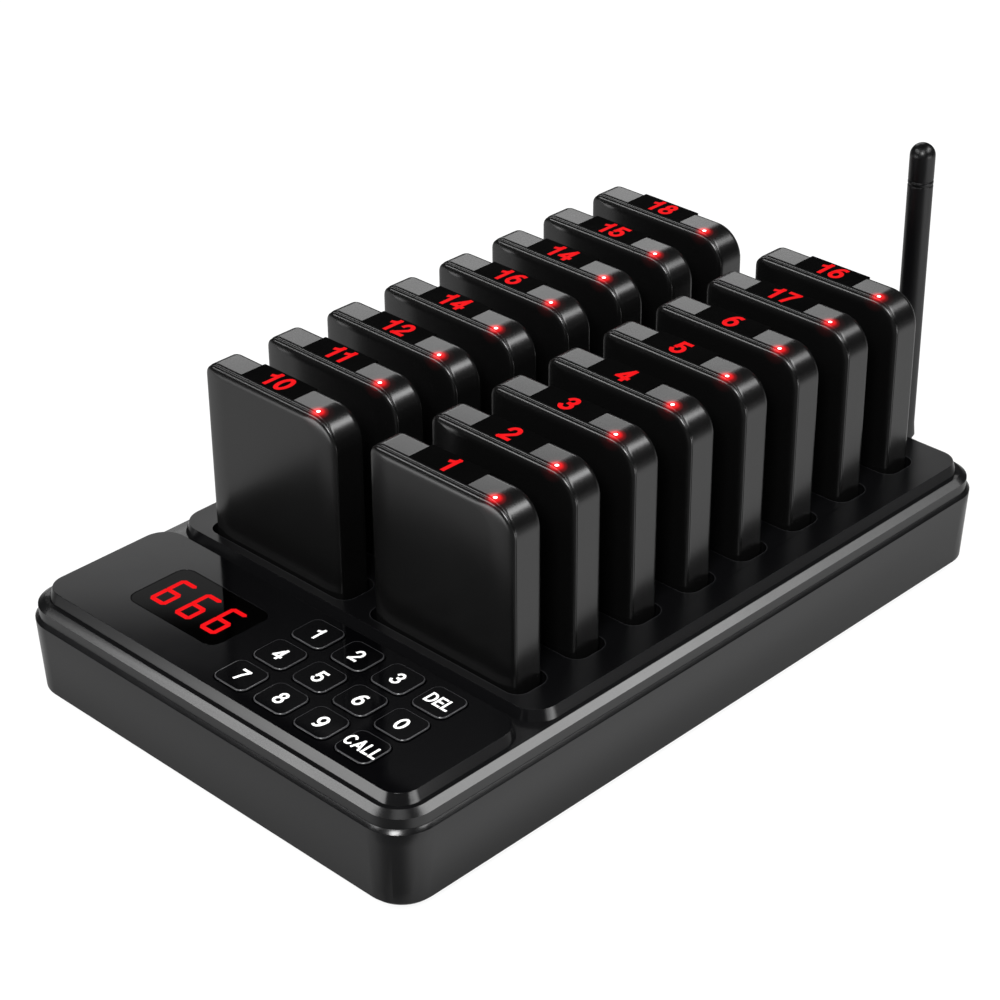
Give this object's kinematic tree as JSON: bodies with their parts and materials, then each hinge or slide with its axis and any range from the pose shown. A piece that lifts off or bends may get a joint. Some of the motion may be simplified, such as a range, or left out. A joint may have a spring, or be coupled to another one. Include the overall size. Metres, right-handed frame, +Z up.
{
  "type": "guest pager system",
  "caption": "Flat charging base with a display and a keypad at its front, slots that hold and charge upright pagers in columns, and a swivelling antenna at the back.",
  "frame": {"origin": "on the table, under the middle of the whole outline seen from above, antenna included", "axes": "+X to the right along the front edge, +Y from the keypad to the antenna, +Z up"},
  "size_m": [0.1664, 0.2808, 0.131],
  "materials": {
    "satin_black_abs": "satin moulded black",
    "gloss_black_panel": "polished black",
    "black_tray_plastic": "satin moulded black",
    "smoked_display_window": "polished smoked pane",
    "display_module_plastic": "moulded grey with lit segments",
    "silicone_membrane": "matte",
    "circuit_board": "green solder mask",
    "gold_contacts": "gold plated",
    "brass_connector": "plated",
    "antenna_plastic": "satin moulded black",
    "jack_plastic": "moulded black",
    "foot_rubber": "matte",
    "screw_steel": "zinc plated",
    "gloss_black_keys": "polished black",
    "pager_case_plastic": "fine satin black",
    "pager_cover_plastic": "fine satin black"
  },
  "bodies": {
    "base": {"lower_shell": "satin_black_abs", "upper_shell": "satin_black_abs", "control_panel": "gloss_black_panel", "charging_tray": "black_tray_plastic", "display_window": "smoked_display_window", "display_module": "display_module_plastic", "keypad_membrane": "silicone_membrane", "main_board": "circuit_board", "charging_board": "circuit_board", "charging_contacts": "gold_contacts", "antenna_base": "brass_connector", "power_jack": "jack_plastic", "rubber_feet": "foot_rubber", "housing_screws": "screw_steel"},
    "antenna_elbow": {"antenna_elbow": "antenna_plastic"},
    "antenna_mast": {"antenna_mast": "antenna_plastic"},
    "key_1": {"key_1": "gloss_black_keys"},
    "key_2": {"key_2": "gloss_black_keys"},
    "key_3": {"key_3": "gloss_black_keys"},
    "key_del": {"key_del": "gloss_black_keys"},
    "key_4": {"key_4": "gloss_black_keys"},
    "key_5": {"key_5": "gloss_black_keys"},
    "key_6": {"key_6": "gloss_black_keys"},
    "key_0": {"key_0": "gloss_black_keys"},
    "key_7": {"key_7": "gloss_black_keys"},
    "key_8": {"key_8": "gloss_black_keys"},
    "key_9": {"key_9": "gloss_black_keys"},
    "key_call": {"key_call": "gloss_black_keys"},
    "pager_left_1": {"pager_left_1_case": "pager_case_plastic", "pager_left_1_cover": "pager_cover_plastic"},
    "pager_left_2": {"pager_left_2_case": "pager_case_plastic", "pager_left_2_cover": "pager_cover_plastic"},
    "pager_left_3": {"pager_left_3_case": "pager_case_plastic", "pager_left_3_cover": "pager_cover_plastic"},
    "pager_left_4": {"pager_left_4_case": "pager_case_plastic", "pager_left_4_cover": "pager_cover_plastic"},
    "pager_left_5": {"pager_left_5_case": "pager_case_plastic", "pager_left_5_cover": "pager_cover_plastic"},
    "pager_left_6": {"pager_left_6_case": "pager_case_plastic", "pager_left_6_cover": "pager_cover_plastic"},
    "pager_left_7": {"pager_left_7_case": "pager_case_plastic", "pager_left_7_cover": "pager_cover_plastic"},
    "pager_left_8": {"pager_left_8_case": "pager_case_plastic", "pager_left_8_cover": "pager_cover_plastic"},
    "pager_right_1": {"pager_right_1_case": "pager_case_plastic", "pager_right_1_cover": "pager_cover_plastic"},
    "pager_right_2": {"pager_right_2_case": "pager_case_plastic", "pager_right_2_cover": "pager_cover_plastic"},
    "pager_right_3": {"pager_right_3_case": "pager_case_plastic", "pager_right_3_cover": "pager_cover_plastic"},
    "pager_right_4": {"pager_right_4_case": "pager_case_plastic", "pager_right_4_cover": "pager_cover_plastic"},
    "pager_right_5": {"pager_right_5_case": "pager_case_plastic", "pager_right_5_cover": "pager_cover_plastic"},
    "pager_right_6": {"pager_right_6_case": "pager_case_plastic", "pager_right_6_cover": "pager_cover_plastic"},
    "pager_right_7": {"pager_right_7_case": "pager_case_plastic", "pager_right_7_cover": "pager_cover_plastic"},
    "pager_right_8": {"pager_right_8_case": "pager_case_plastic", "pager_right_8_cover": "pager_cover_plastic"}
  },
  "joints": [
    {"name": "antenna_swivel", "type": "hinge", "parent": "base", "child": "antenna_elbow", "pos_m": [0.0405, 0.1263, 0.02], "axis": [0, 1, 0], "range_deg": [-90, 90]},
    {"name": "antenna_tilt", "type": "hinge", "parent": "antenna_elbow", "child": "antenna_mast", "pos_m": [0.0405, 0.1359, 0.02], "axis": [1, 0, 0], "range_deg": [-90, 0]},
    {"name": "key_1_press", "type": "slide", "parent": "base", "child": "key_1", "axis": [0, 0, -1], "range_m": [0, 0.0007], "stiffness_N_per_m": 1200, "springref_m": -0.0003},
    {"name": "key_2_press", "type": "slide", "parent": "base", "child": "key_2", "axis": [0, 0, -1], "range_m": [0, 0.0007], "stiffness_N_per_m": 1200, "springref_m": -0.0003},
    {"name": "key_3_press", "type": "slide", "parent": "base", "child": "key_3", "axis": [0, 0, -1], "range_m": [0, 0.0007], "stiffness_N_per_m": 1200, "springref_m": -0.0003},
    {"name": "key_del_press", "type": "slide", "parent": "base", "child": "key_del", "axis": [0, 0, -1], "range_m": [0, 0.0007], "stiffness_N_per_m": 1200, "springref_m": -0.0003},
    {"name": "key_4_press", "type": "slide", "parent": "base", "child": "key_4", "axis": [0, 0, -1], "range_m": [0, 0.0007], "stiffness_N_per_m": 1200, "springref_m": -0.0003},
    {"name": "key_5_press", "type": "slide", "parent": "base", "child": "key_5", "axis": [0, 0, -1], "range_m": [0, 0.0007], "stiffness_N_per_m": 1200, "springref_m": -0.0003},
    {"name": "key_6_press", "type": "slide", "parent": "base", "child": "key_6", "axis": [0, 0, -1], "range_m": [0, 0.0007], "stiffness_N_per_m": 1200, "springref_m": -0.0003},
    {"name": "key_0_press", "type": "slide", "parent": "base", "child": "key_0", "axis": [0, 0, -1], "range_m": [0, 0.0007], "stiffness_N_per_m": 1200, "springref_m": -0.0003},
    {"name": "key_7_press", "type": "slide", "parent": "base", "child": "key_7", "axis": [0, 0, -1], "range_m": [0, 0.0007], "stiffness_N_per_m": 1200, "springref_m": -0.0003},
    {"name": "key_8_press", "type": "slide", "parent": "base", "child": "key_8", "axis": [0, 0, -1], "range_m": [0, 0.0007], "stiffness_N_per_m": 1200, "springref_m": -0.0003},
    {"name": "key_9_press", "type": "slide", "parent": "base", "child": "key_9", "axis": [0, 0, -1], "range_m": [0, 0.0007], "stiffness_N_per_m": 1200, "springref_m": -0.0003},
    {"name": "key_call_press", "type": "slide", "parent": "base", "child": "key_call", "axis": [0, 0, -1], "range_m": [0, 0.0007], "stiffness_N_per_m": 1200, "springref_m": -0.0003},
    {"name": "pager_left_1_lift", "type": "slide", "parent": "base", "child": "pager_left_1", "axis": [0, 0, 1], "range_m": [0, 0.075]},
    {"name": "pager_left_2_lift", "type": "slide", "parent": "base", "child": "pager_left_2", "axis": [0, 0, 1], "range_m": [0, 0.075]},
    {"name": "pager_left_3_lift", "type": "slide", "parent": "base", "child": "pager_left_3", "axis": [0, 0, 1], "range_m": [0, 0.075]},
    {"name": "pager_left_4_lift", "type": "slide", "parent": "base", "child": "pager_left_4", "axis": [0, 0, 1], "range_m": [0, 0.075]},
    {"name": "pager_left_5_lift", "type": "slide", "parent": "base", "child": "pager_left_5", "axis": [0, 0, 1], "range_m": [0, 0.075]},
    {"name": "pager_left_6_lift", "type": "slide", "parent": "base", "child": "pager_left_6", "axis": [0, 0, 1], "range_m": [0, 0.075]},
    {"name": "pager_left_7_lift", "type": "slide", "parent": "base", "child": "pager_left_7", "axis": [0, 0, 1], "range_m": [0, 0.075]},
    {"name": "pager_left_8_lift", "type": "slide", "parent": "base", "child": "pager_left_8", "axis": [0, 0, 1], "range_m": [0, 0.075]},
    {"name": "pager_right_1_lift", "type": "slide", "parent": "base", "child": "pager_right_1", "axis": [0, 0, 1], "range_m": [0, 0.075]},
    {"name": "pager_right_2_lift", "type": "slide", "parent": "base", "child": "pager_right_2", "axis": [0, 0, 1], "range_m": [0, 0.075]},
    {"name": "pager_right_3_lift", "type": "slide", "parent": "base", "child": "pager_right_3", "axis": [0, 0, 1], "range_m": [0, 0.075]},
    {"name": "pager_right_4_lift", "type": "slide", "parent": "base", "child": "pager_right_4", "axis": [0, 0, 1], "range_m": [0, 0.075]},
    {"name": "pager_right_5_lift", "type": "slide", "parent": "base", "child": "pager_right_5", "axis": [0, 0, 1], "range_m": [0, 0.075]},
    {"name": "pager_right_6_lift", "type": "slide", "parent": "base", "child": "pager_right_6", "axis": [0, 0, 1], "range_m": [0, 0.075]},
    {"name": "pager_right_7_lift", "type": "slide", "parent": "base", "child": "pager_right_7", "axis": [0, 0, 1], "range_m": [0, 0.075]},
    {"name": "pager_right_8_lift", "type": "slide", "parent": "base", "child": "pager_right_8", "axis": [0, 0, 1], "range_m": [0, 0.075]}
  ]
}
